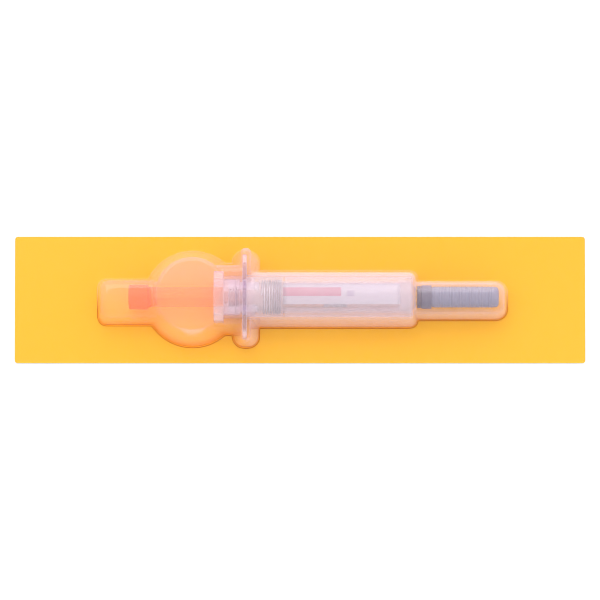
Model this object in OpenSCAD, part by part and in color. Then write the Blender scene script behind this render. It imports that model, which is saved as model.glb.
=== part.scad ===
// A pre-filled syringe in a spring safety guard, sealed under a clear formed blister on a
// backing card. X runs along the card towards the needle, Z is up, and the origin is the
// middle of the card's underside. All sizes are in millimetres.

/* [Backing card] */
// Length of the card, along X
card_l = 171; // [165:0.5:180]
// Width of the card, along Y
card_w = 38.2; // [36:0.1:44]
// Thickness of the coated board
card_t = 0.4; // [0.3:0.05:0.6]
// Radius of the card's four corners
card_r = 0.9; // [0.5:0.1:3]

/* [Blister] */
// Thickness of the formed film
film_t = 0.4; // [0.3:0.05:0.5]
// Height of the finger well above the card
well_h = 16.2; // [16:0.1:18]
// Radius of the finger well where it meets the card
well_r = 14.5; // [14:0.1:16]
// Middle of the finger well, along X
well_x = -32.2; // [-33:0.1:-31]
// Height of the pockets over the guard and its flange
guard_pocket_h = 15.4; // [15.2:0.1:16]
// Height of the pocket behind the thumb button
end_pocket_h = 11.6; // [11.6:0.1:13]
// Height of the pocket over the needle shield
nose_pocket_h = 12; // [11.8:0.1:13]

/* [Safety guard] */
// Outer radius of the guard tube
tube_r = 6.7; // [6.6:0.05:6.8]
// Wall of the guard tube
tube_wall = 0.7; // [0.6:0.05:0.75]
// Front end of the guard tube, along X
tube_front = 33.7; // [33.5:0.1:33.8]
// Width of the finger flange, tip to tip
flange_w = 25.2; // [23:0.1:26]
// Thickness of the finger flange
flange_t = 1.3; // [1:0.1:1.6]

/* [Syringe] */
// Outer radius of the glass barrel
barrel_r = 4.075; // [4.05:0.005:4.1]
// Radius of the glass barrel's bore
bore_r = 3.175; // [3.15:0.005:3.2]
// Inside front end of the bore, along X
bore_front = 32.8; // [32.5:0.1:33]
// Radius of the staked needle, 27 gauge
needle_r = 0.205; // [0.15:0.005:0.21]
// Point of the needle, along X
needle_point = 57.2; // [52:0.1:57.4]

/* [Plunger] */
// How far the plunger can be pressed
stroke = 18; // [12:0.1:18.2]
// Width across the rod's fins
rod_w = 5.9; // [5:0.1:6]
// Radius of the thumb button
button_r = 3.75; // [3.5:0.05:4]

/* [Needle shield] */
// Far end of the rigid shield, along X
shield_end = 59.4; // [59.2:0.1:59.6]
// Radius of the rigid shield over its ribs
shield_r = 3.2; // [3.15:0.05:3.3]
// Radius of the shield's grip collar
collar_r = 3.5; // [3.4:0.05:3.6]

/* [Hidden] */
$fn = 72;

gap = 0.05;                       // play between pieces that slide on each other
rest_gap = 0.1;                   // space between the guard tube and the card
over = 1;                         // how far a cutter runs past what it cuts
axis_z = card_t + rest_gap + tube_r;
tube_bore = tube_r - tube_wall;

// The glass barrel
glass_back = -21.3;
glass_flange_t = 2;
glass_flange_r = 5;
shoulder_x = 33.2;                // where the barrel starts to narrow
tip_x = 35;                       // where the narrow tip starts
tip_end = 44.4;
tip_r = 2.1;
tip_chamfer = 0.8;
glass_fillet = 0.6;               // slope from the flange down to the barrel
bore_cone = 0.9;                  // length over which the bore closes at its front
staking_r = 0.25;                 // hole that the needle is glued in
staking_l = 6;
needle_bevel = 15;

// The stopper and rod
stopper_l = 7.5;
stopper_front = bore_front - stroke - 0.2;
stopper_back = stopper_front - stopper_l;
stopper_play = 0.025;
// The stopper's ribs: distance from its back, and depth below the ribs' radius
STOPPER_STEPS = [[0, 0], [1.2, 0], [1.6, 0.3], [2.8, 0.3], [3.2, 0], [4.2, 0], [4.6, 0.3],
                 [5.4, 0.3], [5.8, 0], [7, 0]];
rod_disc_t = 1.4;
fin_t = 1.2;
screw_r = 1.75;
screw_l = 4.3;
button_back = -51.3;
button_l = 7.4;
button_neck_l = 1.6;
button_neck_r = button_r - 0.7;
button_step = 0.4;
button_edge = 0.6;
weld = 0.2;                       // how far pieces of one moulding run into each other

// The syringe carrier and its clip
carrier_in = barrel_r + 0.175;
carrier_relief = glass_fillet + 2 * gap;   // chamfer that clears the slope behind the barrel
carrier_out = 4.7;
carrier_flange_r = 5.4;
carrier_flange_x = glass_back + glass_flange_t + 2 * gap;
carrier_flange_t = 1.2;
seat_x = -12.3;                   // collar that the spring pushes on
seat_t = 0.6;
arm_start = -5;
window_w = 7.9;                   // width of the two windows that leave the side arms
ring_x = 30;                      // ribbed front ring
ring_end = 33.1;
ring_plain = 0.3;                 // plain part of the ring behind its ribs
rib_pitch = 0.6;
rib_r = 5.1;
clip_t = 1.4;
clip_hole = 3.4;

// The spring, held compressed round the carrier
spring_x0 = seat_x + seat_t + 2 * gap;
spring_x1 = -5.3;
spring_r = 5.05;
wire_r = 0.22;
open_turns = 4.5;                 // turns that stand apart
tight_turns = 4;                  // turns that lie close together at the front
tight_pitch = 0.6;
ring_steps = 20;
wire_sides = 6;

// The guard
guard_back = -25.8;
rim_t = 3;
rim_w = 15.3;
plate_x = -17.2;
plate_h = 13.2;
plate_corner = 4.5;
guard_bore = 5.6;
spigot_l = 2.5;
step_in = 4.85;
step_t = 0.8;
lip_in = 5.3;
lip_t = 0.5;

// The needle shield
rubber_x = 35.1;
rubber_flange_t = 1;
rubber_r = 2.7;
rubber_flange_r = 3.3;
rigid_x = 36.2;
rubber_end = shield_end - 1.1;
tip_bore = tip_r + gap + 0.01;
tip_room = 0.3;                   // space past the glass tip
needle_channel_r = 0.35;
needle_room = 0.5;                // space past the needle's point
collar_l = 3.1;
collar_edge = 0.3;
groove_l = 0.4;
groove_depth = 0.15;
shield_rib = 1;                   // pitch of the shield's ribs
rib_flat = 0.2;
rib_slope = 0.15;
shield_root = 3.05;
shield_nose_r = 1;

// The label round the barrel
label_x0 = -5.1;
label_x1 = 30;
label_in = barrel_r + 0.015;
label_t = 0.08;
label_open = [218, 285];          // bare strip on the -Y side, in angles from -Z towards +Y

// Each pocket: from X, to X, middle Y, half width, height, side draft, end draft, top radius,
// corner radius
END_POCKET = [-60.5, -36, -0.9, 6.95, end_pocket_h, 7, 4, 3, 2.6];
NECK_POCKET = [-32, -14, 0, 10.7, guard_pocket_h, 8, 3, 2.4, 1];
FLANGE_POCKET = [-20.2, -12.2, 0, 14.5, guard_pocket_h, 2.5, 9.5, 1.2, 3.4];
GUARD_POCKET = [-18, 35.2, 0, 8.55, guard_pocket_h, 8, 3, 4, 2.2];
NOSE_POCKET = [28, 62.1, -0.4, 5.8, nose_pocket_h, 6, 5, 4.2, 3.3];
POCKETS = [END_POCKET, NECK_POCKET, FLANGE_POCKET, GUARD_POCKET, NOSE_POCKET];
well_top_r = 11;                  // radius of the well at its rounded upper edge
well_edge = 1.2;

function arc(centre, r, from, to, steps = 6) =
    [for (i = [0:steps]) let (a = from + (to - from) * i / steps)
        centre + r * [cos(a), sin(a)]];

function rounded(x0, x1, y0, y1, r) = concat(
    arc([x1 - r, y1 - r], r, 0, 90), arc([x0 + r, y1 - r], r, 90, 180),
    arc([x0 + r, y0 + r], r, 180, 270), arc([x1 - r, y0 + r], r, 270, 360));

// A wall that leans in by a draft angle and turns over into a flat top, as half an outline
function leaning(half, h, draft, r) =
    concat([[half, 0]], arc([half - (h - r) * tan(draft) - r, h - r], r, 0, 90));

function mirrored(points) =
    [for (i = [len(points) - 1:-1:0]) [-points[i][0], points[i][1]]];

// Turns local Z into X, on the syringe's axis
module on_axis() translate([0, 0, axis_z]) rotate([0, 90, 0]) children();

// A turned solid from [radius, X] points
module turned(points) on_axis() rotate_extrude() polygon(points);

module tube(x0, x1, r_in, r_out)
    turned([[r_in, x0], [r_out, x0], [r_out, x1], [r_in, x1]]);

// A plate across the axis, with a rounded rectangular outline
module cross_plate(x, t, w, h, r) translate([x, 0, axis_z]) rotate([90, 0, 90])
    linear_extrude(t) polygon(rounded(-w / 2, w / 2, -h / 2, h / 2, r));

// One pocket's solid on the card; inset and dig give the hollow that is taken out of it
module pocket(p, inset = 0, dig = 0) {
    l = p[1] - p[0] - 2 * inset;
    half = p[3] - inset;
    h = p[4] - inset;
    side = leaning(half, h, p[5], p[7] - inset);
    end = leaning(l / 2, h, p[6], p[7] - inset);
    translate([(p[0] + p[1]) / 2, p[2], card_t]) intersection() {
        rotate([90, 0, 90]) linear_extrude(l, center = true)
            polygon(concat([[half, -dig]], side, mirrored(side), [[-half, -dig]]));
        rotate([90, 0, 0]) linear_extrude(2 * half, center = true)
            polygon(concat([[l / 2, -dig]], end, mirrored(end), [[-l / 2, -dig]]));
        translate([0, 0, -dig]) linear_extrude(h + dig)
            polygon(rounded(-l / 2, l / 2, -half, half, p[8] - inset));
    }
}

module finger_well(inset = 0, dig = 0) translate([well_x, 0, card_t]) rotate_extrude()
    polygon(concat([[0, -dig], [well_r - inset, -dig], [well_r - inset, 0]],
        arc([well_top_r - well_edge - inset, well_h - well_edge - inset], well_edge, 14, 90),
        [[0, well_h - inset]]));

module backing_card() color("#fcc23c") linear_extrude(card_t)
    polygon(rounded(-card_l / 2, card_l / 2, -card_w / 2, card_w / 2, card_r));

module blister() color("#f2f4f8", 0.35) difference() {
    union() {
        translate([0, 0, card_t]) linear_extrude(film_t)
            polygon(rounded(-card_l / 2, card_l / 2, -card_w / 2, card_w / 2, card_r));
        for (p = POCKETS) pocket(p);
        finger_well();
    }
    for (p = POCKETS) pocket(p, film_t, over);
    finger_well(film_t, over);
}

module guard_tube() color("#e6e2ee", 0.6) {
    turned([[tube_bore, plate_x + flange_t + gap], [tube_r, plate_x + flange_t + gap],
        [tube_r, tube_front - lip_t], [tube_r - lip_t, tube_front], [lip_in, tube_front],
        [lip_in, tube_front - lip_t], [tube_bore, tube_front - lip_t],
        [tube_bore, spring_x1 + step_t + gap], [step_in, spring_x1 + step_t + gap],
        [step_in, spring_x1 + gap], [tube_bore, spring_x1 + gap]]);
}

module finger_flange() color("#e0deea", 0.6) difference() {
    union() {
        cross_plate(plate_x, flange_t, flange_w, plate_h, plate_corner);
        cross_plate(guard_back, rim_t, rim_w, plate_h, plate_corner);
        tube(guard_back, plate_x + flange_t, guard_bore, plate_h / 2);
        tube(plate_x, plate_x + flange_t + spigot_l, guard_bore, tube_bore - gap);
    }
    tube(guard_back - over, plate_x + flange_t + spigot_l + over, 0, guard_bore);
}

module syringe_carrier() color("#eceaf4", 0.7) difference() {
    turned(concat([[carrier_in + carrier_relief, carrier_flange_x],
        [carrier_flange_r, carrier_flange_x],
        [carrier_flange_r, carrier_flange_x + carrier_flange_t],
        [carrier_out, carrier_flange_x + carrier_flange_t], [carrier_out, seat_x],
        [spring_r + wire_r, seat_x], [spring_r + wire_r, seat_x + seat_t],
        [carrier_out, seat_x + seat_t]],
        [for (x = [ring_x:rib_pitch:ring_end - rib_pitch / 2])
            each [[carrier_out, x], [rib_r, x], [rib_r, x + rib_pitch / 2],
                [carrier_out, x + rib_pitch / 2]]],
        [[carrier_out, ring_end], [carrier_in, ring_end],
        [carrier_in, carrier_flange_x + carrier_relief]]));
    translate([arm_start, -window_w / 2, axis_z - carrier_out - over])
        cube([ring_x - ring_plain - arm_start, window_w, 2 * (carrier_out + over)]);
}

module flange_clip() color("#d9d6e6", 0.8)
    turned([[clip_hole, glass_back - clip_t - gap], [carrier_flange_r, glass_back - clip_t - gap],
        [carrier_flange_r, carrier_flange_x - gap], [glass_flange_r + gap, carrier_flange_x - gap],
        [glass_flange_r + gap, glass_back - gap], [clip_hole, glass_back - gap]]);

// Where a turn stands along X, then the helix's centre line and the ring of points round it
function coil_x(turn) = let (x0 = spring_x0 + wire_r, x1 = spring_x1 - wire_r - tight_turns * tight_pitch)
    turn < open_turns ? x0 + (x1 - x0) * turn / open_turns : x1 + (turn - open_turns) * tight_pitch;
function coil_point(i) = let (turn = i / ring_steps, a = 360 * turn)
    [coil_x(turn), spring_r * cos(a), spring_r * sin(a)];
function coil_ring(i) = let (p = coil_point(i), a = 360 * i / ring_steps)
    [for (k = [0:wire_sides - 1]) let (b = 360 * k / wire_sides)
        p + wire_r * [sin(b), cos(b) * cos(a), cos(b) * sin(a)]];

module guard_spring() color("silver") {
    last = (open_turns + tight_turns) * ring_steps;
    points = [for (i = [0:last]) each coil_ring(i)];
    sides = [for (i = [0:last - 1], k = [0:wire_sides - 1]) let (n = (k + 1) % wire_sides)
        [i * wire_sides + k, i * wire_sides + n, (i + 1) * wire_sides + n, (i + 1) * wire_sides + k]];
    ends = [[for (k = [wire_sides - 1:-1:0]) k],
        [for (k = [0:wire_sides - 1]) last * wire_sides + k]];
    translate([0, 0, axis_z]) polyhedron(points, concat(sides, ends));
}

module glass_barrel() color("#e8f0f4", 0.4)
    turned([[bore_r, glass_back], [glass_flange_r, glass_back],
        [glass_flange_r, glass_back + glass_flange_t],
        [barrel_r, glass_back + glass_flange_t + glass_fillet],
        [barrel_r, shoulder_x], [tip_r, tip_x], [tip_r, tip_end - tip_chamfer],
        [tip_r - tip_chamfer, tip_end], [staking_r, tip_end],
        [staking_r, bore_front + bore_cone], [bore_r, bore_front]]);

module barrel_label() color("#f4f2f8") on_axis() translate([0, 0, label_x0]) rotate(label_open[1])
    rotate_extrude(angle = 360 - (label_open[1] - label_open[0]))
        translate([label_in, 0]) square([label_t, label_x1 - label_x0]);

module needle() color("silver") difference() {
    tube(tip_end - staking_l, needle_point, needle_r / 2, needle_r);
    translate([needle_point, 0, axis_z - needle_r]) rotate([0, 90 - needle_bevel, 0])
        translate([-2 * over, -over, 0]) cube([4, 2, 2] * over);
}

module dose() color("#f6f2ee", 0.4)
    turned([[0, stopper_front + gap], [bore_r - gap, stopper_front + gap],
        [bore_r - gap, bore_front - gap], [0, bore_front - gap]]);

module stopper() color("#8a8c94") turned(concat(
    [[screw_r + gap, stopper_back]],
    [for (step = STOPPER_STEPS) [bore_r - stopper_play - step[1], stopper_back + step[0]]],
    [[0, stopper_front], [0, stopper_back + screw_l + gap],
    [screw_r + gap, stopper_back + screw_l + gap]]));

module plunger_rod() color("#fb9650", 0.8) {
    button_front = button_back + button_l;
    rod_front = stopper_back - gap;
    disc_x = rod_front - rod_disc_t;
    turned(concat([[0, button_back]],
        arc([button_r - button_edge, button_back + button_edge], button_edge, -90, 0),
        [[button_r, button_front - button_neck_l],
        [button_neck_r, button_front - button_neck_l + button_step],
        [button_neck_r, button_front], [0, button_front]]));
    for (size = [[rod_w, fin_t], [fin_t, rod_w]])
        translate([button_front - weld, -size[0] / 2, axis_z - size[1] / 2])
            cube([disc_x - button_front + 2 * weld, size[0], size[1]]);
    tube(disc_x, rod_front, 0, rod_w / 2);
    tube(rod_front - weld, rod_front + screw_l, 0, screw_r);
}

module inner_shield() color("#4c4a55")
    turned([[tip_bore, rubber_x], [rubber_flange_r, rubber_x],
        [rubber_flange_r, rubber_x + rubber_flange_t], [rubber_r, rubber_x + rubber_flange_t],
        [rubber_r, rubber_end], [0, rubber_end], [0, needle_point + needle_room],
        [needle_channel_r, needle_point + needle_room], [needle_channel_r, tip_end + tip_room],
        [tip_bore, tip_end + tip_room]]);

module rigid_shield() color("#77747f") {
    body_x = rigid_x + collar_l + groove_l;
    valley = shield_rib - rib_flat - 2 * rib_slope;
    ribs = floor((shield_end - shield_nose_r - body_x) / shield_rib);
    turned(concat([[rubber_r + gap, rigid_x], [collar_r - collar_edge, rigid_x],
        [collar_r, rigid_x + collar_edge], [collar_r, rigid_x + collar_l],
        [shield_root - groove_depth, rigid_x + collar_l], [shield_root - groove_depth, body_x],
        [shield_root, body_x]],
        [for (i = [0:ribs - 1]) let (x = body_x + i * shield_rib + valley)
            each [[shield_root, x], [shield_r, x + rib_slope],
                [shield_r, x + rib_slope + rib_flat], [shield_root, x + 2 * rib_slope + rib_flat]]],
        arc([shield_root - shield_nose_r, shield_end - shield_nose_r], shield_nose_r, 0, 90),
        [[0, shield_end], [0, rubber_end + 2 * gap], [rubber_r + gap, rubber_end + 2 * gap]]));
}

backing_card();
blister();
guard_tube();
finger_flange();
syringe_carrier();
flange_clip();
guard_spring();
glass_barrel();
barrel_label();
needle();
dose();
stopper();
plunger_rod();
inner_shield();
rigid_shield();
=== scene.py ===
"""Looks of a guarded pre-filled syringe, sealed under a clear formed blister on a card.
Sizes are written in millimetres, in the CAD's frame, and scaled to metres as meshes are made."""

import math

import bmesh
import bpy
from mathutils import Matrix, Vector


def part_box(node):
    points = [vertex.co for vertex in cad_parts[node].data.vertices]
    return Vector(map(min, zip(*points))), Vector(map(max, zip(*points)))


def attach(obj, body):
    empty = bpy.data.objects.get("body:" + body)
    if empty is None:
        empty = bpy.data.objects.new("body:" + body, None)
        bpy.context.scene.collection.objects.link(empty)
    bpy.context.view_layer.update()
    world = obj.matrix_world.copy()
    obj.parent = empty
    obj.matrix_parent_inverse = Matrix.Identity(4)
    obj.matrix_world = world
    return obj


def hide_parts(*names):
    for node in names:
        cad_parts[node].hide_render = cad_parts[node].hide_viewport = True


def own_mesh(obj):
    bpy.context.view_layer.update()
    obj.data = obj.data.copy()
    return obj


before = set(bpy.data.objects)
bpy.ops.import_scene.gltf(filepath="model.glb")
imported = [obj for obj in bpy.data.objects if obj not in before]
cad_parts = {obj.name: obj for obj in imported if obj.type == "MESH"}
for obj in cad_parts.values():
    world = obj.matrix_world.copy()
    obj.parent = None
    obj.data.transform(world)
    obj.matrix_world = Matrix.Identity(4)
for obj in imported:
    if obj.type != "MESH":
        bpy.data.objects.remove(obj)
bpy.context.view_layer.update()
MM = 0.001


def span(node):
    """(x0, x1, half width across Y) of a CAD node, in millimetres."""
    lo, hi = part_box(node)
    return lo.x / MM, hi.x / MM, (hi.y - lo.y) / 2 / MM


CARD_LO, CARD_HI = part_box("backing_card")
CARD_L = (CARD_HI.x - CARD_LO.x) / MM
CARD_W = (CARD_HI.y - CARD_LO.y) / MM
CARD_T = CARD_HI.z / MM
CARD_R = 0.9
FILM_TOP = CARD_T + 0.4
TUBE_LO, TUBE_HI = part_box("guard_tube")
AXIS_Z = (TUBE_LO.z + TUBE_HI.z) / 2 / MM
BUTTON_L = 7.4
BUTTON_FRONT = span("plunger_rod")[0] + BUTTON_L
COLLAR_FRONT = span("rigid_shield")[0] + 3.1
SEGMENTS = 96

# The film's X from clear of the guard to over it
OVER_GUARD = (-18.0, -13.0)
# The label's print: shares of its length
PINK_END = 0.49
TICK_FROM, TICK_TO = 0.55, 0.60


# ---------------------------------------------------------------- shaders

def srgb(r, g, b):
    """A colour given in 0 to 255 display numbers, as linear light with alpha."""
    return tuple(((c / 255 + 0.055) / 1.055) ** 2.4 if c > 10 else c / 3294 for c in (r, g, b)) + (1.0,)


class Tree:
    """A short way to write one material's nodes."""

    def __init__(self, name):
        self.mat = bpy.data.materials.new(name)
        self.mat.use_nodes = True
        self.nodes = self.mat.node_tree.nodes
        self.links = self.mat.node_tree.links
        self.nodes.clear()

    def add(self, kind, **inputs):
        """A node, with inputs by name: a number or colour sets the socket, and a socket is linked."""
        node = self.nodes.new(kind)
        for name, value in inputs.items():
            socket = node.inputs[name.replace("_", " ")]
            if isinstance(value, bpy.types.NodeSocket):
                self.links.new(value, socket)
            else:
                socket.default_value = value
        return node

    def math(self, operation, a, b=0.0, clamp=False):
        node = self.nodes.new("ShaderNodeMath")
        node.operation, node.use_clamp = operation, clamp
        for socket, value in zip(node.inputs, (a, b)):
            if isinstance(value, bpy.types.NodeSocket):
                self.links.new(value, socket)
            else:
                socket.default_value = value
        return node.outputs[0]

    def blend(self, factor, a, b):
        """A colour between a and b."""
        node = self.nodes.new("ShaderNodeMix")
        node.data_type = "RGBA"
        for socket, value in ((node.inputs[0], factor), (node.inputs[6], a), (node.inputs[7], b)):
            if isinstance(value, bpy.types.NodeSocket):
                self.links.new(value, socket)
            else:
                socket.default_value = value
        return node.outputs[2]

    def mix(self, factor, a, b):
        """One shader over another; factor is how much of b shows."""
        node = self.nodes.new("ShaderNodeMixShader")
        if isinstance(factor, bpy.types.NodeSocket):
            self.links.new(factor, node.inputs[0])
        else:
            node.inputs[0].default_value = factor
        self.links.new(a, node.inputs[1])
        self.links.new(b, node.inputs[2])
        return node.outputs[0]

    def ramp(self, value, low, high):
        """0 below low, 1 above high, straight between."""
        node = self.add("ShaderNodeMapRange", Value=value)
        node.inputs["From Min"].default_value = low
        node.inputs["From Max"].default_value = high
        return node.outputs[0]

    def place(self):
        """The piece's own coordinates, in millimetres."""
        node = self.add("ShaderNodeVectorMath")
        node.operation = "SCALE"
        self.links.new(self.add("ShaderNodeTexCoord").outputs["Object"], node.inputs[0])
        node.inputs["Scale"].default_value = 1 / MM
        return node.outputs[0]

    def noise(self, scale, detail=3.0, stretch=(1, 1, 1)):
        """A noise value; scale is in waves per millimetre."""
        mapping = self.add("ShaderNodeMapping", Vector=self.place(), Scale=stretch)
        node = self.add("ShaderNodeTexNoise", Vector=mapping.outputs[0], Scale=scale, Detail=detail)
        return node.outputs["Fac"]

    def bump(self, height, depth_mm, strength=1.0):
        node = self.add("ShaderNodeBump", Height=height, Strength=strength, Distance=depth_mm * MM)
        return node.outputs[0]

    def facing(self):
        """0 where a surface faces the eye, 1 where it is seen edge on, the same from both sides."""
        return self.add("ShaderNodeLayerWeight", Blend=0.5).outputs["Facing"]

    def fresnel(self, base=0.04):
        """Schlick's share of light that a clear surface mirrors."""
        return self.math("MAXIMUM", self.math("POWER", self.facing(), 5.0), base, clamp=True)

    def along(self, axis):
        """One of the piece's own coordinates, in millimetres."""
        return self.add("ShaderNodeSeparateXYZ", Vector=self.place()).outputs[axis]

    def between(self, value, low, high, soft):
        """1 from low to high, falling to 0 over the soft width outside them."""
        rise = self.ramp(value, low - soft, low)
        fall = self.ramp(value, high, high + soft)
        return self.math("SUBTRACT", rise, fall, clamp=True)

    def finish(self, surface):
        out = self.add("ShaderNodeOutputMaterial")
        self.links.new(surface, out.inputs["Surface"])
        return self.mat


def clear_plastic(t, haze, haze_colour, tint, roughness, base=0.04, normal=None):
    """Clear or cloudy moulded plastic: light goes straight through with a tint, part of it is
    scattered as haze, and the surface mirrors by Schlick's rule."""
    through = t.add("ShaderNodeBsdfTransparent", Color=tint).outputs[0]
    cloud = t.add("ShaderNodeBsdfDiffuse", Color=haze_colour)
    gloss = t.add("ShaderNodeBsdfGlossy", Color=(1, 1, 1, 1), Roughness=roughness)
    if normal is not None:
        t.links.new(normal, cloud.inputs["Normal"])
        t.links.new(normal, gloss.inputs["Normal"])
    body = t.mix(haze, through, cloud.outputs[0])
    return t.finish(t.mix(t.fresnel(base), body, gloss.outputs[0]))


def film_material():
    """Clear sheet, cloudier where forming has stretched it. Painted reflection lies over that haze: more haze
    towards +Y, and more and whiter haze along the walls that stand by the white guard. The tight bend at each
    pocket's foot has a painted highlight on the +Y side and painted shade on the -Y side, where the lower
    part of the walls also has a painted reflection of the card's orange."""
    t = Tree("clear_film")
    height = t.along("Z")
    formed = t.ramp(height, FILM_TOP + 0.2, FILM_TOP + 1.5)
    bend = t.between(height, FILM_TOP + 0.12, FILM_TOP + 0.20, 0.06)
    side_away_from_lamp = t.ramp(t.along("Y"), 3.0, -3.0)
    # painted shade: the foot bend on the -Y side, away from the lamp, is darkened
    shaded = t.math("MULTIPLY", bend, side_away_from_lamp)
    # painted highlight: the foot bend on the +Y side, towards the lamp, gets white haze
    bright = t.math("MULTIPLY", bend, t.math("SUBTRACT", 1.0, side_away_from_lamp))
    facing = t.facing()
    # partly painted reflection: walls by the guard get extra edge haze for the light they mirror, over the
    # film's real edge haze
    by_guard = t.math("ADD", t.math("MULTIPLY", t.ramp(t.along("X"), *OVER_GUARD), 0.30), 0.10)
    walls = t.math("MULTIPLY", t.math("POWER", facing, 1.5), by_guard)
    stretched = t.math("MULTIPLY", t.ramp(height, 11.0, 16.5), 0.04)
    cloud = t.math("ADD", t.math("MULTIPLY", t.noise(0.12, 2.0), 0.03), 0.02)
    # painted reflection: more haze towards +Y, where the film mirrors the bright light
    painted_reflection_veil = t.math("MULTIPLY", t.ramp(t.along("Y"), -3.0, 6.0), 0.06)
    cloud = t.math("ADD", cloud, painted_reflection_veil)
    haze = t.math("MULTIPLY", formed, t.math("ADD", t.math("ADD", cloud, stretched), walls))
    haze = t.math("ADD", haze, t.math("MULTIPLY", bright, 0.22))
    colour = t.blend(t.math("POWER", facing, 1.5), (1.0, 0.45, 0.60, 1), (1.0, 0.62, 0.74, 1))
    # painted reflection: the haze turns whiter over the guard
    whiter = t.math("MULTIPLY", t.ramp(t.along("X"), *OVER_GUARD), 0.6)
    colour = t.blend(whiter, colour, (0.96, 0.88, 0.94, 1))
    # painted reflection: the card's orange tinted into the lower walls on the -Y side
    foot = t.math("MULTIPLY", t.ramp(height, FILM_TOP + 0.1, FILM_TOP + 0.4),
                  t.ramp(height, FILM_TOP + 5.0, FILM_TOP + 0.5))
    foot = t.math("MULTIPLY", side_away_from_lamp, foot)
    tint = t.blend(foot, (0.995, 0.99, 0.99, 1), (1.0, 0.80, 0.60, 1))
    # painted shade: a dark brown tint on the -Y foot bend
    tint = t.blend(shaded, tint, (0.62, 0.30, 0.22, 1))
    normal = t.bump(t.noise(0.35, 2.0, (0.4, 1, 1)), 0.04, 0.3)
    base = t.math("ADD", t.math("MULTIPLY", formed, 0.014), 0.014)
    return clear_plastic(t, haze, colour, tint, 0.12, base, normal)


def guard_material():
    t = Tree("guard_plastic")
    normal = t.bump(t.noise(0.5, 2.0, (0.3, 1, 1)), 0.03, 0.4)
    haze = t.math("ADD", t.math("MULTIPLY", t.noise(0.2), 0.05), 0.11)
    haze = t.math("ADD", haze, t.math("MULTIPLY", t.math("POWER", t.facing(), 5.0), 0.4))
    tint = t.blend(t.math("POWER", t.facing(), 3.0), (0.99, 0.985, 0.99, 1), (0.90, 0.86, 0.94, 1))
    return clear_plastic(t, haze, (0.90, 0.84, 0.92, 1), tint, 0.28, 0.04, normal)


def flange_material(name, cloud, lines, core, edge):
    """Clear plastic that is seen through its depth: core is its colour straight down, and lines is how
    white its rounded edges are."""
    t = Tree(name)
    normal = t.bump(t.noise(0.6, 2.0), 0.02, 0.4)
    open_side = t.math("MAXIMUM", t.ramp(t.facing(), 0.05, 0.25), t.ramp(t.along("X"), -18.0, -19.0))
    tint = t.blend(open_side, core, (0.99, 0.98, 0.985, 1))
    tint = t.blend(t.math("POWER", t.facing(), 3.0), tint, edge)
    haze = t.math("ADD", t.math("MULTIPLY", t.noise(0.3), 0.03), cloud)
    haze = t.math("ADD", haze, t.math("MULTIPLY", t.between(t.facing(), 0.16, 0.7, 0.1), lines))
    return clear_plastic(t, haze, (0.94, 0.90, 0.96, 1), tint, 0.10, 0.04, normal)


def carrier_material():
    t = Tree("carrier_plastic")
    normal = t.bump(t.noise(2.5, 3.0), 0.02, 0.5)
    haze = t.math("ADD", t.math("MULTIPLY", t.noise(0.4), 0.05), 0.12)
    haze = t.math("ADD", haze, t.math("MULTIPLY", t.math("POWER", t.facing(), 4.0), 0.5))
    behind_spring = t.ramp(t.along("X"), -12.0, -13.0)
    edges = t.math("MULTIPLY", t.between(t.facing(), 0.2, 0.6, 0.1), behind_spring)
    haze = t.math("ADD", haze, t.math("MULTIPLY", edges, 0.3))
    tint = t.blend(t.math("POWER", t.facing(), 3.0), (0.98, 0.97, 0.98, 1), (0.78, 0.74, 0.84, 1))
    return clear_plastic(t, haze, (0.86, 0.82, 0.92, 1), tint, 0.25, 0.04, normal)


def glass_material():
    t = Tree("barrel_glass")
    normal = t.bump(t.noise(0.3, 1.0, (0.2, 1, 1)), 0.01, 0.3)
    tint = t.blend(t.math("POWER", t.facing(), 2.0), (0.99, 0.99, 0.99, 1), (0.60, 0.62, 0.72, 1))
    rim = t.math("MULTIPLY", t.between(t.facing(), 0.15, 0.8, 0.1), t.ramp(t.along("X"), -18.0, -18.6))
    tint = t.blend(rim, tint, (0.45, 0.44, 0.58, 1))
    return clear_plastic(t, 0.02, (0.9, 0.93, 0.95, 1), tint, 0.03, 0.045, normal)


def dose_material():
    t = Tree("dose_liquid")
    ripple = t.bump(t.noise(0.4, 1.0), 0.01, 0.2)
    return clear_plastic(t, 0.03, (0.95, 0.84, 0.84, 1), (0.985, 0.97, 0.97, 1), 0.03, 0.02, ripple)


def rod_material():
    """See-through orange plastic: deeper and less clear in the solid thumb button."""
    t = Tree("rod_plastic")
    solid = t.ramp(t.along("X"), BUTTON_FRONT, BUTTON_FRONT - 0.6)
    flow = t.noise(0.5, 3.0, (0.15, 1, 1))
    colour = t.blend(flow, (1.0, 0.48, 0.01, 1), (1.0, 0.55, 0.03, 1))
    colour = t.blend(solid, colour, (1.0, 0.27, 0.0, 1))
    normal = t.bump(t.noise(3.0), 0.01, 0.3)
    body = t.add("ShaderNodeBsdfDiffuse", Color=colour, Normal=normal).outputs[0]
    lit = t.add("ShaderNodeBsdfTranslucent", Color=colour).outputs[0]
    clear = t.add("ShaderNodeBsdfTransparent", Color=(1.0, 0.84, 0.30, 1)).outputs[0]
    gloss = t.add("ShaderNodeBsdfGlossy", Color=(1, 1, 1, 1), Roughness=0.25).outputs[0]
    cover = t.math("ADD", t.math("MULTIPLY", solid, 0.42), 0.32)
    inside = t.mix(cover, clear, t.mix(0.3, body, lit))
    return t.finish(t.mix(t.fresnel(0.01), inside, gloss))


def rubber_material(name, dark, light):
    t = Tree(name)
    colour = t.blend(t.noise(1.5, 5.0), dark, light)
    body = t.add("ShaderNodeBsdfPrincipled", Base_Color=colour, Normal=t.bump(t.noise(4.0), 0.02, 0.6),
                 Roughness=t.ramp(t.noise(2.0), -1.2, 1.4))
    return t.finish(body.outputs[0])


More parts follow.
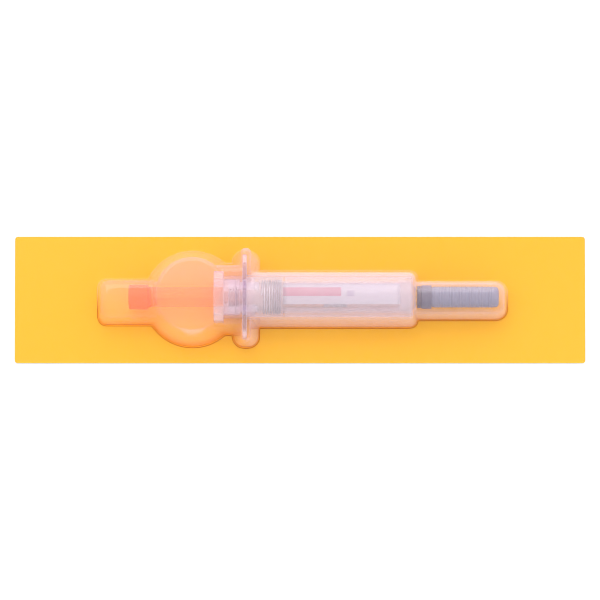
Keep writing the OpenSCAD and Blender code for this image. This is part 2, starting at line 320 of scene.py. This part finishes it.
def steel_material(name, dark, light):
    t = Tree(name)
    lines = t.noise(3.0, 2.0, (0.1, 6, 6))
    body = t.add("ShaderNodeBsdfPrincipled", Base_Color=t.blend(lines, dark, light),
                 Roughness=t.math("ADD", t.math("MULTIPLY", lines, 0.2), 0.15))
    body.inputs["Metallic"].default_value = 1.0
    return t.finish(body.outputs[0])


def spring_material(tight_x):
    """Bright wire, seen darker where its front turns lie close together and shade each other."""
    t = Tree("spring_steel")
    tight = t.ramp(t.along("X"), tight_x - 0.3, tight_x)
    wire = t.blend(tight, (0.66, 0.66, 0.70, 1), (0.26, 0.26, 0.31, 1))
    colour = t.blend(t.ramp(t.facing(), 0.05, 0.6), wire, (0.04, 0.04, 0.06, 1))
    body = t.add("ShaderNodeBsdfPrincipled", Base_Color=colour,
                 Roughness=t.math("ADD", t.math("MULTIPLY", t.noise(3.0, 2.0), 0.2), 0.2))
    body.inputs["Metallic"].default_value = 1.0
    return t.finish(body.outputs[0])


def shield_material():
    t = Tree("shield_plastic")
    colour = t.blend(t.noise(1.2, 4.0), (0.165, 0.180, 0.27, 1), (0.24, 0.255, 0.37, 1))
    grip = t.ramp(t.along("X"), COLLAR_FRONT + 0.1, COLLAR_FRONT)
    colour = t.blend(grip, colour, (0.085, 0.095, 0.155, 1))
    body = t.add("ShaderNodeBsdfPrincipled", Base_Color=colour, Roughness=t.ramp(t.noise(1.0), -0.9, 1.9),
                 Normal=t.bump(t.noise(5.0), 0.015, 0.5))
    return t.finish(body.outputs[0])


def board_material():
    """Coated board: yellow-orange ink on its face, bare fibre on its edges and back."""
    t = Tree("card_board")
    side = t.add("ShaderNodeSeparateXYZ", Vector=t.add("ShaderNodeTexCoord").outputs["Normal"]).outputs["Z"]
    face = t.ramp(side, 0.4, 0.6)
    mottle = t.noise(0.25, 5.0)
    wash = t.noise(0.012, 1.0)
    ink = t.blend(t.math("ADD", t.math("MULTIPLY", mottle, 0.3), t.math("MULTIPLY", wash, 0.7)),
                  (0.96, 0.47, 0.010, 1), (0.98, 0.53, 0.036, 1))
    fibre = t.noise(1.8, 6.0, (0.35, 1, 1))
    bare = t.blend(fibre, srgb(214, 206, 194), srgb(238, 233, 224))
    body = t.add("ShaderNodeBsdfPrincipled", Base_Color=t.blend(face, bare, ink),
                 Normal=t.bump(fibre, 0.012, 0.4),
                 Roughness=t.math("SUBTRACT", 0.8, t.math("MULTIPLY", face, 0.1)))
    body.inputs["Specular IOR Level"].default_value = 0.15
    return t.finish(body.outputs[0])


def label_material():
    """White coated paper with one pink band along its back half and one plain grey tick. Light comes
    through it, and more through its underside, whose peach colour is painted light from the card underneath."""
    t = Tree("label_paper")
    uv = t.add("ShaderNodeSeparateXYZ", Vector=t.add("ShaderNodeTexCoord").outputs["UV"])
    along, around = uv.outputs["X"], uv.outputs["Y"]

    band = t.math("MULTIPLY", t.between(along, 0.0, PINK_END, 0.01), t.between(around, *PINK_BAND, 0.01))
    tick = t.math("MULTIPLY", t.between(along, TICK_FROM, TICK_TO, 0.01), t.between(around, *GREY_TICK, 0.01))
    paper = t.blend(t.noise(2.0, 4.0), (0.78, 0.80, 0.90, 1), (0.88, 0.90, 0.96, 1))
    colour = t.blend(band, paper, (0.78, 0.16, 0.32, 1))
    colour = t.blend(t.math("MULTIPLY", tick, 0.5), colour, srgb(150, 140, 190))
    under = t.ramp(around, *UNDERSIDE_PAINTED_GLOW)
    # painted light: the underside is tinted peach for the card's orange light that comes through it
    colour = t.blend(t.math("MULTIPLY", under, 0.8), colour, (1.0, 0.80, 0.76, 1))
    body = t.add("ShaderNodeBsdfPrincipled", Base_Color=colour, Roughness=0.45,
                 Normal=t.bump(t.noise(4.0), 0.01, 0.4))
    lit = t.add("ShaderNodeBsdfTranslucent", Color=colour).outputs[0]
    return t.finish(t.mix(t.math("ADD", t.math("MULTIPLY", under, 0.3), 0.5), body.outputs[0], lit))


# ---------------------------------------------------------------- meshes

def piece(name, bm, body, material, node=None, slot=None, smooth_angle=35, bevel=0.0):
    """A finished piece from a bmesh in millimetres: scaled, shaded, given its body and node; the slot is not
    used.
    """
    bm.transform(Matrix.Scale(MM, 4))
    bmesh.ops.recalc_face_normals(bm, faces=bm.faces)
    mesh = bpy.data.meshes.new(name)
    bm.to_mesh(mesh)
    bm.free()
    obj = bpy.data.objects.new(name, mesh)
    bpy.context.scene.collection.objects.link(obj)
    obj.data.materials.append(material)
    for polygon in mesh.polygons:
        polygon.use_smooth = True
    mesh.set_sharp_from_angle(angle=math.radians(smooth_angle))
    if bevel:
        edge = obj.modifiers.new("edge", "BEVEL")
        edge.width, edge.segments, edge.limit_method = bevel * MM, 3, "ANGLE"
        edge.angle_limit = math.radians(40)
        edge.harden_normals = True
    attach(obj, body)
    if node:
        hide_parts(node)
    return obj


def turn(bm, profile, start=0.0, sweep=360.0):
    """Adds a solid turned about the syringe's axis, from a closed outline of (x, radius) points. A part
    turn gets end faces. Angles are measured from +Z towards +Y."""
    full = sweep >= 360
    steps = SEGMENTS if full else max(4, round(SEGMENTS * sweep / 360))
    rings = []
    for i in range(steps if full else steps + 1):
        a = math.radians(start + sweep * i / steps)
        rings.append([bm.verts.new((x, r * math.sin(a), AXIS_Z + r * math.cos(a))) for x, r in profile])
    count = len(profile)
    for i in range(len(rings) if full else len(rings) - 1):
        a, b = rings[i], rings[(i + 1) % len(rings)]
        for j in range(count):
            k = (j + 1) % count
            bm.faces.new((a[j], a[k], b[k], b[j]))
    if not full:
        bm.faces.new(rings[0])
        bm.faces.new(rings[-1])
    bmesh.ops.remove_doubles(bm, verts=bm.verts, dist=1e-5)


def rounded_profile(points, radius, steps=3):
    """The same closed outline with each corner cut to a small arc of the given radius."""
    out = []
    n = len(points)
    for i, p in enumerate(points):
        p = Vector(p)
        a, b = Vector(points[i - 1]) - p, Vector(points[(i + 1) % n]) - p
        on_axis = p.y <= 1e-6
        r = min(radius, a.length / 2.2, b.length / 2.2)
        if on_axis or r < 1e-4 or abs(a.normalized().cross(b.normalized())) < 0.05:
            out.append(tuple(p))
            continue
        s, e = p + a.normalized() * r, p + b.normalized() * r
        for k in range(steps + 1):
            u = k / steps
            out.append(tuple((1 - u) ** 2 * s + 2 * u * (1 - u) * p + u ** 2 * e))
    return out


def turned_piece(name, profile, body, material, node, slot, edge=0.12, **more):
    bm = bmesh.new()
    turn(bm, rounded_profile(profile, edge))
    return piece(name, bm, body, material, node, slot, **more)


def rounded_rectangle(half_x, half_y, corner, per_corner=8):
    points = []
    for cx, cy, a0 in ((1, 1, 0), (-1, 1, 90), (-1, -1, 180), (1, -1, 270)):
        for i in range(per_corner + 1):
            a = math.radians(a0 + 90 * i / per_corner)
            points.append((cx * (half_x - corner) + corner * math.cos(a),
                           cy * (half_y - corner) + corner * math.sin(a)))
    return points


def loft(bm, rings):
    """Closes a stack of equal loops of points into one solid."""
    loops = [[bm.verts.new(p) for p in ring] for ring in rings]
    n = len(loops[0])
    for a, b in zip(loops, loops[1:]):
        for i in range(n):
            bm.faces.new((a[i], a[(i + 1) % n], b[(i + 1) % n], b[i]))
    bm.faces.new(loops[0][::-1])
    bm.faces.new(loops[-1])


def bored_plate(bm, x0, x1, outline, bore):
    """A plate across the axis with a round hole; outline is (y, z) points about the axis."""
    n = len(outline)
    hole = []
    for y, z in outline:
        a = math.atan2(z, y)
        hole.append((bore * math.cos(a), bore * math.sin(a)))
    loops = [[bm.verts.new((x, y, AXIS_Z + z)) for y, z in ring]
             for x, ring in ((x0, outline), (x1, outline), (x1, hole), (x0, hole))]
    for k in range(4):
        a, b = loops[k], loops[(k + 1) % 4]
        for i in range(n):
            bm.faces.new((a[i], a[(i + 1) % n], b[(i + 1) % n], b[i]))


# ---------------------------------------------------------------- the pack

def make_board(material):
    bm = bmesh.new()
    outline = rounded_rectangle(CARD_L / 2, CARD_W / 2, CARD_R)
    loft(bm, [[(x, y, z) for x, y in outline] for z in (0.0, CARD_T)])
    return piece("board", bm, "card", material, "backing_card", "card_board", bevel=0.04)


# Each pocket as in the CAD: x0, x1, middle y, half width, height, side draft, end draft, top radius,
# corner radius
POCKETS = (
    (-60.5, -36.0, -0.9, 6.95, 11.6, 7, 4, 3.0, 2.6),
    (-32.0, -14.0, 0.0, 10.7, 15.4, 8, 3, 2.4, 1.0),
    (-20.2, -12.2, 0.0, 14.5, 15.4, 2.5, 9.5, 1.2, 3.4),
    (-18.0, 35.2, 0.0, 8.55, 15.4, 8, 3, 4.0, 2.2),
    (28.0, 62.1, -0.4, 5.8, 12.0, 6, 5, 4.2, 3.3),
)
WELL_X, WELL_R, WELL_TOP_R, WELL_H, WELL_EDGE = -32.2, 14.5, 11.0, 16.2, 1.2
FILM_T = 0.36
DEEP = -3.0
VOXEL = 0.3


def pocket_rings(x0, x1, middle, half, height, side_draft, end_draft, top_r, corner):
    """Loops of a pocket from under the card to its flat top."""
    side, end = math.tan(math.radians(side_draft)), math.tan(math.radians(end_draft))
    levels = [(DEEP, 0.0, 0.0), (0.0, 0.0, 0.0), (height - top_r, 0.0, height - top_r)]
    for i in range(1, 7):
        a = math.radians(15 * i)
        levels.append((height - top_r + top_r * math.sin(a), top_r * (1 - math.cos(a)), height - top_r))
    rings = []
    for z, inset, leaning in levels:
        hx = (x1 - x0) / 2 - inset - leaning * end
        hy = half - inset - leaning * side
        loop = rounded_rectangle(hx, hy, min(corner, hx * 0.9, hy * 0.9))
        rings.append([((x0 + x1) / 2 + x, middle + y, CARD_T + z) for x, y in loop])
    return rings


def well_rings():
    levels = [(DEEP, WELL_R), (0.0, WELL_R)]
    for i in range(7):
        a = math.radians(14 + 76 * i / 6)
        levels.append((WELL_H - WELL_EDGE + WELL_EDGE * math.sin(a),
                       WELL_TOP_R - WELL_EDGE + WELL_EDGE * math.cos(a)))
    return [[(WELL_X + r * math.cos(math.radians(5 * k)), r * math.sin(math.radians(5 * k)), CARD_T + z)
             for k in range(72)] for z, r in levels]


def trim_to_card(bm):
    """Cuts the sheet to the card's outline, with a plane along each side and round each corner."""
    hx, hy = CARD_L / 2, CARD_W / 2
    for cx, cy in ((1, 1), (-1, 1), (-1, -1), (1, -1)):
        for k in range(0, 7):
            a = math.radians(15 * k)
            out = Vector((cx * math.cos(a), cy * math.sin(a), 0))
            at = Vector((cx * (hx - CARD_R), cy * (hy - CARD_R), 0)) + out * CARD_R
            bmesh.ops.bisect_plane(bm, geom=bm.verts[:] + bm.edges[:] + bm.faces[:], plane_co=at,
                                   plane_no=out, clear_outer=True)


def make_blister(material):
    """The formed film: the pockets are joined by a fine remesh, which rounds where they meet,
    then only the upper skin is kept and given the film's thickness."""
    bm = bmesh.new()
    for pocket in POCKETS:
        loft(bm, pocket_rings(*pocket))
    loft(bm, well_rings())
    slab = rounded_rectangle(CARD_L / 2 + 3, CARD_W / 2 + 3, 2)
    loft(bm, [[(x, y, z) for x, y in slab] for z in (CARD_T + DEEP, FILM_TOP)])
    bmesh.ops.recalc_face_normals(bm, faces=bm.faces)
    bm.transform(Matrix.Scale(MM, 4))
    mesh = bpy.data.meshes.new("forming")
    bm.to_mesh(mesh)
    bm.free()
    forming = bpy.data.objects.new("forming", mesh)
    bpy.context.scene.collection.objects.link(forming)
    remesh = forming.modifiers.new("remesh", "REMESH")
    remesh.mode, remesh.voxel_size = "VOXEL", VOXEL * MM
    soften = forming.modifiers.new("soften", "SMOOTH")
    soften.factor, soften.iterations = 0.5, 4
    skin = bpy.data.meshes.new_from_object(forming.evaluated_get(bpy.context.evaluated_depsgraph_get()))
    bpy.data.objects.remove(forming)
    bm = bmesh.new()
    bm.from_mesh(skin)
    bpy.data.meshes.remove(skin)
    bm.transform(Matrix.Scale(1 / MM, 4))
    trim_to_card(bm)
    low = [f for f in bm.faces if f.calc_center_median().z < FILM_TOP - 0.6]
    bmesh.ops.delete(bm, geom=low, context="FACES")
    for v in bm.verts:
        if v.co.z < FILM_TOP:
            v.co.z = FILM_TOP
    obj = piece("film", bm, "blister", material, "blister", "clear_film", smooth_angle=180)
    thin = obj.modifiers.new("thin", "DECIMATE")
    thin.ratio = 0.35
    wall = obj.modifiers.new("wall", "SOLIDIFY")
    wall.thickness, wall.offset, wall.use_even_offset = FILM_T * MM, -1.0, False
    flat = obj.modifiers.new("flat", "WEIGHTED_NORMAL")
    flat.keep_sharp = True
    return obj


# ---------------------------------------------------------------- the guard

def make_guard_tube(material):
    x0, x1, r = span("guard_tube")
    bore, lip_in, lip_t = r - 0.7, 5.3, 0.5
    step_in, step_x, step_t = 4.85, -5.2, 0.8
    profile = [(x0, bore), (x0, r), (x1 - lip_t, r), (x1, r - lip_t), (x1, lip_in), (x1 - lip_t, lip_in),
               (x1 - lip_t, bore), (step_x + step_t, bore), (step_x + step_t, step_in), (step_x, step_in),
               (step_x, bore)]
    return turned_piece("guard_shell", profile, "guard", material, "guard_tube", "guard_plastic", 0.15)


def make_flange(plate_material, collar_material):
    x0, x1, half = span("finger_flange")
    bore, body_r, spigot_r = 5.6, 6.6, 5.95
    plate_x, plate_t, rim_half, rim_t, corner = -17.2, 1.3, 7.65, 3.0, 4.5
    bm = bmesh.new()
    bored_plate(bm, plate_x, plate_x + plate_t, rounded_rectangle(half, body_r, corner, 12), bore)
    bored_plate(bm, x0, x0 + rim_t, rounded_rectangle(rim_half, body_r, corner, 12), bore)
    plates = piece("flange_plates", bm, "guard", plate_material, None, "guard_plastic", bevel=0.25)
    collar_from, collar_to, collar_r = x0 + rim_t - 0.3, plate_x + 0.3, body_r - 0.1
    profile = [(collar_from, bore), (collar_from, collar_r), (collar_to, collar_r), (collar_to, bore)]
    bm = bmesh.new()
    turn(bm, rounded_profile(profile, 0.05))
    spigot_from = plate_x + plate_t - 0.2
    spigot = [(spigot_from, bore), (spigot_from, spigot_r), (x1, spigot_r), (x1, bore)]
    turn(bm, rounded_profile(spigot, 0.1))
    collar = piece("flange_collar", bm, "guard", collar_material, "finger_flange", "guard_plastic")
    return plates, collar


def make_carrier(material):
    x0, x1, flange_r = span("syringe_carrier")
    inner, outer, rib_r, rib_pitch, ribs_made = 4.25, 4.7, 5.1, 0.6, 5
    flange_t, seat_x, seat_r, seat_t = 1.2, -12.3, 5.27, 0.6
    arm_x, ring_x, window_half = -5.0, 30.0, 3.95
    arm_half = math.degrees(math.acos(window_half / outer))
    bm = bmesh.new()
    turn(bm, rounded_profile([(x0, inner), (x0, flange_r), (x0 + flange_t, flange_r), (x0 + flange_t, outer),
                              (seat_x, outer), (seat_x, seat_r), (seat_x + seat_t, seat_r),
                              (seat_x + seat_t, outer), (arm_x, outer), (arm_x, inner)], 0.1))
    for side in (90, 270):
        turn(bm, [(arm_x, inner), (arm_x, outer), (ring_x, outer), (ring_x, inner)],
             side - arm_half, 2 * arm_half)
    ribs = []
    for k in range(ribs_made):
        x = ring_x + rib_pitch * k
        ribs += [(x, outer), (x, rib_r), (x + rib_pitch / 2, rib_r), (x + rib_pitch / 2, outer)]
    turn(bm, rounded_profile([(ring_x - 0.3, inner), (ring_x - 0.3, outer)] + ribs
                             + [(x1, outer), (x1, inner)], 0.06))
    return piece("carrier", bm, "guard", material, "syringe_carrier", "carrier_plastic")


def make_clip(material):
    x0, x1, r = span("flange_clip")
    hole, pocket_r, back_t = 3.4, 5.05, 1.4
    profile = [(x0, hole), (x0, r), (x1, r), (x1, pocket_r), (x0 + back_t, pocket_r), (x0 + back_t, hole)]
    return turned_piece("clip", profile, "guard", material, "flange_clip", "carrier_plastic", 0.3)


def make_spring(material):
    """The compressed guard spring, with its front turns close together."""
    x0, x1, outer_r = span("guard_spring")
    wire, open_turns, tight_turns, tight_pitch, per_turn = 0.22, 4.5, 4.0, 0.6, 32
    mean = outer_r - wire
    curve = bpy.data.curves.new("spring", "CURVE")
    curve.dimensions = "3D"
    curve.bevel_depth, curve.bevel_resolution, curve.use_fill_caps = wire * MM, 3, True
    line = curve.splines.new("POLY")
    count = int((open_turns + tight_turns) * per_turn)
    line.points.add(count)
    first, close = x0 + wire, x1 - wire - tight_turns * tight_pitch
    for i, point in enumerate(line.points):
        a = 2 * math.pi * i / per_turn
        done = i / per_turn
        if done < open_turns:
            x = first + (close - first) * done / open_turns
        else:
            x = close + (done - open_turns) * tight_pitch
        point.co = (x * MM, mean * math.sin(a) * MM, (AXIS_Z + mean * math.cos(a)) * MM, 1)
    obj = bpy.data.objects.new("spring", curve)
    bpy.context.scene.collection.objects.link(obj)
    curve.materials.append(material)
    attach(obj, "guard")
    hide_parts("guard_spring")
    return obj


# ---------------------------------------------------------------- the syringe

BARREL_R, BORE_R, BORE_FRONT = 4.075, 3.175, 32.8


def make_barrel(material):
    x0, x1, flange_r = span("glass_barrel")
    flange_t, fillet, bore_cone = 2.0, 0.6, 0.9
    shoulder_x, bend_x, tip_x = 33.2, 34.1, 35.0
    bend_r, tip_r, tip_chamfer, needle_hole = 3.3, 2.1, 0.8, 0.25
    profile = [(x0, BORE_R), (x0, flange_r), (x0 + flange_t, flange_r), (x0 + flange_t + fillet, BARREL_R),
               (shoulder_x, BARREL_R), (bend_x, bend_r), (tip_x, tip_r), (x1 - tip_chamfer, tip_r),
               (x1, tip_r - tip_chamfer), (x1, needle_hole), (BORE_FRONT + bore_cone, needle_hole),
               (BORE_FRONT, BORE_R)]
    return turned_piece("barrel", profile, "guard", material, "glass_barrel", "barrel_glass", 0.35)


# Angles about the axis, from +Z towards +Y, that the label covers
LABEL_FROM, LABEL_TO = -38.0, 255.0


def around(start, end):
    """Two angles about the axis, as shares of the label's width."""
    return tuple((angle - LABEL_FROM) / (LABEL_TO - LABEL_FROM) for angle in (start, end))


PINK_BAND = around(-1, 36)
GREY_TICK = around(-2, 20)
UNDERSIDE_PAINTED_GLOW = around(140, 180)


def make_label(material):
    """A strip wrapped round the glass, a little proud where its free edge lies, with its own UVs."""
    x0, x1 = span("barrel_label")[:2]
    glue, half_paper = 0.015, 0.03
    free_edge_lift, free_edge_share = 0.05, 1 / 12
    steps, rows = 90, 24
    bm = bmesh.new()
    grid = []
    for i in range(steps + 1):
        t = i / steps
        a = math.radians(LABEL_FROM + (LABEL_TO - LABEL_FROM) * t)
        r = BARREL_R + glue + half_paper + free_edge_lift * max(0.0, 1 - t / free_edge_share)
        grid.append([bm.verts.new((x0 + (x1 - x0) * j / rows, r * math.sin(a), AXIS_Z + r * math.cos(a)))
                     for j in range(rows + 1)])
    layer = bm.loops.layers.uv.new("label")
    for i in range(steps):
        for j in range(rows):
            face = bm.faces.new((grid[i][j], grid[i][j + 1], grid[i + 1][j + 1], grid[i + 1][j]))
            for loop, (di, dj) in zip(face.loops, ((0, 0), (0, 1), (1, 1), (1, 0))):
                loop[layer].uv = ((j + dj) / rows, (i + di) / steps)
    obj = piece("label", bm, "guard", material, "barrel_label", "label_paper", smooth_angle=180)
    paper = obj.modifiers.new("paper", "SOLIDIFY")
    paper.thickness, paper.offset = 2 * half_paper * MM, 0.0
    return obj


def make_stopper(material):
    x0, x1, rib = span("stopper")
    valley = rib - 0.3
    socket_r, socket_l, nose_l = 1.8, 4.35, 0.5
    steps = ((0, rib), (1.2, rib), (1.6, valley), (2.8, valley), (3.2, rib), (4.2, rib), (4.6, valley),
             (5.4, valley), (5.8, rib))
    profile = [(x0, socket_r)] + [(x0 + x, r) for x, r in steps]
    profile += [(x1 - nose_l, rib), (x1, 0), (x0 + socket_l, 0), (x0 + socket_l, socket_r)]
    return turned_piece("plug", profile, "plunger", material, "stopper", "stopper_rubber", 0.15)


def make_dose(material):
    """The liquid ahead of the stopper, given a mesh of its own. In the real syringe it shortens towards the
    barrel's front as the plunger goes in.
    """
    x0, x1, r = span("dose")
    bm = bmesh.new()
    turn(bm, [(x0, 0), (x0, r), (x1, r), (x1, 0)])
    obj = piece("liquid", bm, "guard", material, "dose", "dose_liquid")
    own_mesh(obj)
    return obj


def make_plunger(material):
    x0, x1, r = span("plunger_rod")
    neck_l, neck_r, neck_slope = 1.6, r - 0.7, 0.3
    disc_t, disc_gap, screw_r = 1.4, 0.05, 1.75
    half, fin = 2.95, 0.6
    lap = 0.2
    bm = bmesh.new()
    # The dished end of the button: depth from its back, and share of its radius
    dish = [(x0 + x, r * share) for x, share in ((0.45, 0), (0.32, 0.45), (0.05, 0.72), (0, 0.82),
                                                 (0.12, 0.93), (0.5, 1))]
    neck_x = BUTTON_FRONT - neck_l
    button = dish + [(neck_x, r), (neck_x + neck_slope, neck_r), (BUTTON_FRONT, neck_r), (BUTTON_FRONT, 0)]
    turn(bm, rounded_profile(button, 0.25))
    disc_x = span("stopper")[0] - disc_t - disc_gap
    disc_end = disc_x + disc_t
    turn(bm, rounded_profile([(disc_x, 0), (disc_x, half), (disc_end, half), (disc_end, 0)], 0.2))
    screw_x = disc_end - 0.1
    turn(bm, rounded_profile([(screw_x, 0), (screw_x, screw_r), (x1, screw_r), (x1, 0)], 0.15))
    cross = [(fin, fin), (fin, half), (-fin, half), (-fin, fin), (-half, fin), (-half, -fin),
             (-fin, -fin), (-fin, -half), (fin, -half), (fin, -fin), (half, -fin), (half, fin)]
    # rounded_profile leaves points at or below 0 sharp, as points on an axis, so the cross is moved up
    away = 10
    cross = rounded_profile([(y + away, z + away) for y, z in cross], 0.25)
    cross = [(y - away, z - away) for y, z in cross]
    loft(bm, [[(x, y, AXIS_Z + z) for y, z in cross] for x in (BUTTON_FRONT - lap, disc_x + lap)])
    return piece("rod", bm, "plunger", material, "plunger_rod", "rod_plastic", smooth_angle=40)


def make_inner_shield(material):
    x0, x1, flange_r = span("inner_shield")
    flange_t, body_r, tip_bore, needle_r = 1.0, 2.7, 2.16, 0.35
    tip_room_x, needle_room_x = 44.7, 57.7
    profile = [(x0, tip_bore), (x0, flange_r), (x0 + flange_t, flange_r), (x0 + flange_t, body_r),
               (x1, body_r), (x1, 0), (needle_room_x, 0), (needle_room_x, needle_r),
               (tip_room_x, needle_r), (tip_room_x, tip_bore)]
    return turned_piece("soft_shield", profile, "shield", material, "inner_shield", "shield_rubber", 0.12)


def make_rigid_shield(material):
    x0, x1, collar_r = span("rigid_shield")
    inner, root, rib, pitch = 2.75, 3.05, 3.2, 1.0
    collar_edge, groove_l, groove_r, plain_l, nose_r = 0.3, 0.4, root - 0.15, 1.6, 1.0
    body_x = COLLAR_FRONT + groove_l
    profile = [(x0, inner), (x0, collar_r - collar_edge), (x0 + collar_edge, collar_r),
               (COLLAR_FRONT, collar_r), (COLLAR_FRONT, groove_r), (body_x, groove_r), (body_x, root)]
    for k in range(int((x1 - plain_l - body_x) / pitch)):
        x = body_x + pitch * k
        profile += [(x + 0.5, root), (x + 0.65, rib), (x + 0.85, rib), (x + pitch, root)]
    profile += [(x1 - nose_r, root)]
    for k in range(1, 7):
        a = math.radians(15 * k)
        profile.append((x1 - nose_r + nose_r * math.sin(a), root - nose_r + nose_r * math.cos(a)))
    profile += [(x1, 0), (x1 - nose_r, 0), (x1 - nose_r, inner)]
    return turned_piece("hard_shield", profile, "shield", material, "rigid_shield", "shield_plastic", 0.06)


# ---------------------------------------------------------------- the studio

def make_studio():
    scene = bpy.context.scene
    bm = bmesh.new()
    bmesh.ops.create_grid(bm, x_segments=1, y_segments=1, size=3.0)
    mesh = bpy.data.meshes.new("floor")
    bm.to_mesh(mesh)
    bm.free()
    floor = bpy.data.objects.new("floor", mesh)
    scene.collection.objects.link(floor)
    floor.location.z = -0.0001
    t = Tree("floor_white")
    mesh.materials.append(t.finish(t.add("ShaderNodeBsdfDiffuse", Color=(0.94, 0.94, 0.94, 1)).outputs[0]))

    world = bpy.data.worlds.new("studio")
    scene.world = world
    world.use_nodes = True
    tree = world.node_tree
    direction = tree.nodes.new("ShaderNodeTexCoord").outputs["Generated"]
    split = tree.nodes.new("ShaderNodeSeparateXYZ")
    ramp = tree.nodes.new("ShaderNodeMapRange")
    tree.links.new(direction, split.inputs[0])
    tree.links.new(split.outputs["Y"], ramp.inputs["Value"])
    for name, value in (("From Min", -1), ("From Max", 1), ("To Min", 1.06), ("To Max", 1.20)):
        ramp.inputs[name].default_value = value
    tree.nodes["Background"].inputs["Color"].default_value = (1, 1, 1, 1)
    tree.links.new(ramp.outputs[0], tree.nodes["Background"].inputs["Strength"])

    def area(name, at, size, radiance):
        light = bpy.data.lights.new(name, "AREA")
        light.shape, light.size, light.size_y = "RECTANGLE", size[0], size[1]
        light.energy = radiance * math.pi * size[0] * size[1]
        obj = bpy.data.objects.new(name, light)
        scene.collection.objects.link(obj)
        obj.location = at
        obj.rotation_euler = (-Vector(at)).to_track_quat("-Z", "Y").to_euler()
        obj.visible_camera = False
        return obj

    area("softbox", (-0.15, 0.84, 1.0), (1.8, 1.0), 1.6).visible_diffuse = False
    area("bank", (-0.15, 0.84, 1.0), (1.8, 1.0), 1.7).visible_glossy = False
    area("overhead", (-0.1, 0.5, 1.1), (0.3, 0.25), 5.0).visible_glossy = False

    camera = bpy.data.cameras.new("camera")
    obj = bpy.data.objects.new("camera", camera)
    scene.collection.objects.link(obj)
    tilt, distance, frame_w = math.radians(7), 2.4, 0.180
    camera.sensor_width = 36
    camera.lens = 36 * distance / frame_w
    camera.clip_end = 20
    obj.location = (0, -distance * math.sin(tilt), distance * math.cos(tilt))
    obj.rotation_euler = (tilt, 0, 0)
    scene.camera = obj
    scene.view_settings.view_transform = "Standard"
    scene.cycles.transparent_max_bounces = 48
    scene.cycles.max_bounces = 12
    scene.cycles.filter_width = 0.9
    scene.cycles.use_denoising = True


make_studio()
guard = guard_material()
carrier = carrier_material()
make_board(board_material())
make_blister(film_material())
make_guard_tube(guard)
make_flange(flange_material("flange_plastic", 0.08, 0.25, (0.72, 0.70, 0.88, 1), (0.50, 0.48, 0.70, 1)),
            flange_material("collar_plastic", 0.03, 0.08, (0.98, 0.97, 0.98, 1), (0.80, 0.78, 0.88, 1)))
make_carrier(carrier)
make_clip(carrier)
make_spring(spring_material(span("guard_spring")[1] - 2.6))
make_barrel(glass_material())
make_label(label_material())
make_stopper(rubber_material("stopper_rubber", srgb(120, 122, 132), srgb(146, 148, 158)))
make_dose(dose_material())
make_plunger(rod_material())
make_inner_shield(rubber_material("shield_rubber", srgb(70, 68, 82), srgb(88, 86, 100)))
make_rigid_shield(shield_material())
needle_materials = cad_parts["needle"].data.materials
needle_materials.clear()
needle_materials.append(steel_material("needle_steel", (0.5, 0.5, 0.52, 1), (0.75, 0.75, 0.78, 1)))
